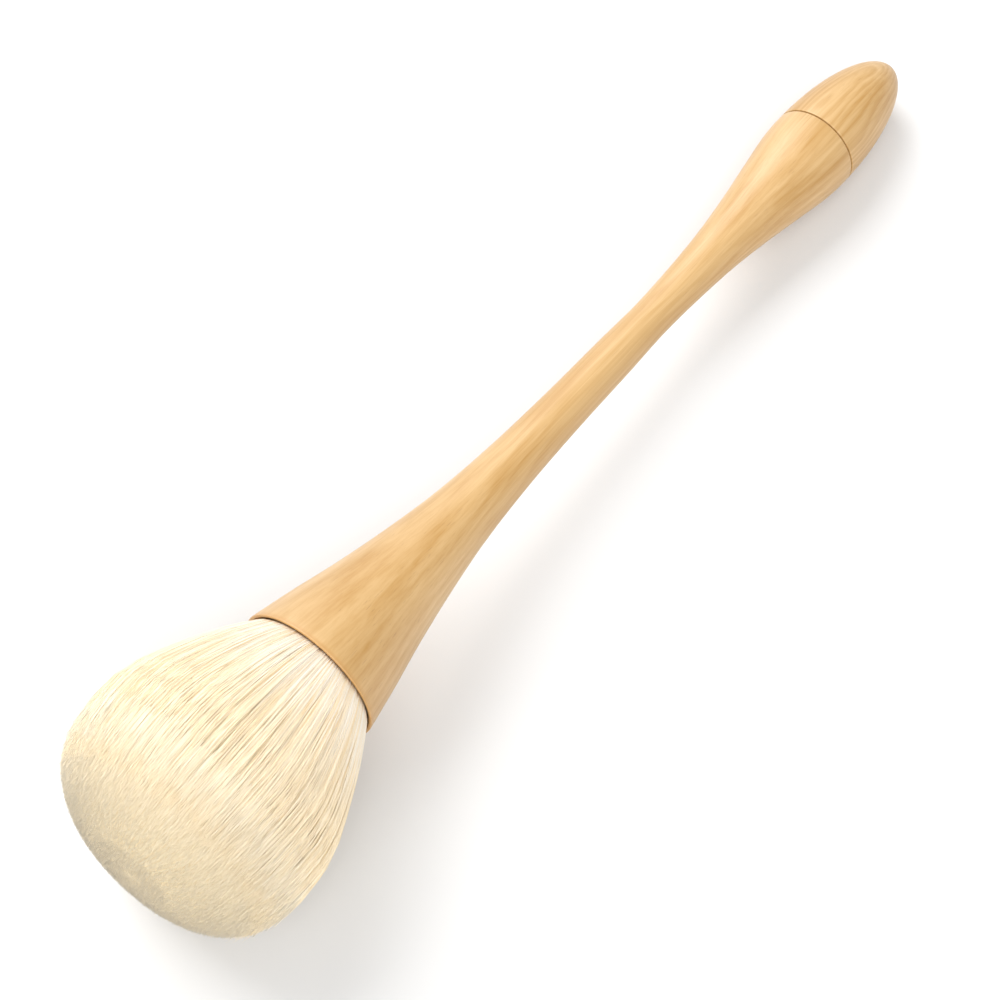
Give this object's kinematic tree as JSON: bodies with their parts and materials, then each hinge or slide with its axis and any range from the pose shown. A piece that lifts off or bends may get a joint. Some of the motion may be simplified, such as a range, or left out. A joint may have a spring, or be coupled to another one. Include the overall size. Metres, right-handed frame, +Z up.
{
  "type": "neck duster brush",
  "caption": "Neck duster with a big soft round head of fine cream bristles in a slender trumpet-shaped wood-look handle, with a push-in domed end cap on its bulb.",
  "frame": {"origin": "centre of the bounding box's base, on the table the brush lies on", "axes": "+Z up from the table, +X towards the bristle head, with the brush's own axis in the XZ plane and rising 4.7 degrees towards +X, +Y across"},
  "size_m": [0.2076, 0.0454, 0.0447],
  "materials": {
    "wood_look_body": "satin",
    "wood_look_cap": "satin",
    "plain_steel": "satin",
    "dark_foam": "matte",
    "thin_aluminium": "satin",
    "amber_resin": "gloss",
    "cotton_thread": "matte",
    "clear_glue": "gloss",
    "cream_bristle": "matte"
  },
  "bodies": {
    "handle": {"handle_shell": "wood_look_body", "counterweight": "plain_steel", "foam_disc": "dark_foam", "bristle_cup": "thin_aluminium", "knot_resin": "amber_resin", "binding_thread": "cotton_thread", "glue_ring": "clear_glue", "bristle_head": "cream_bristle"},
    "cap": {"end_cap": "wood_look_cap"}
  },
  "joints": [
    {"name": "cap_pull", "type": "slide", "parent": "handle", "child": "cap", "axis": [-0.9966, 0, -0.0819], "range_m": [0, 0.02]}
  ]
}
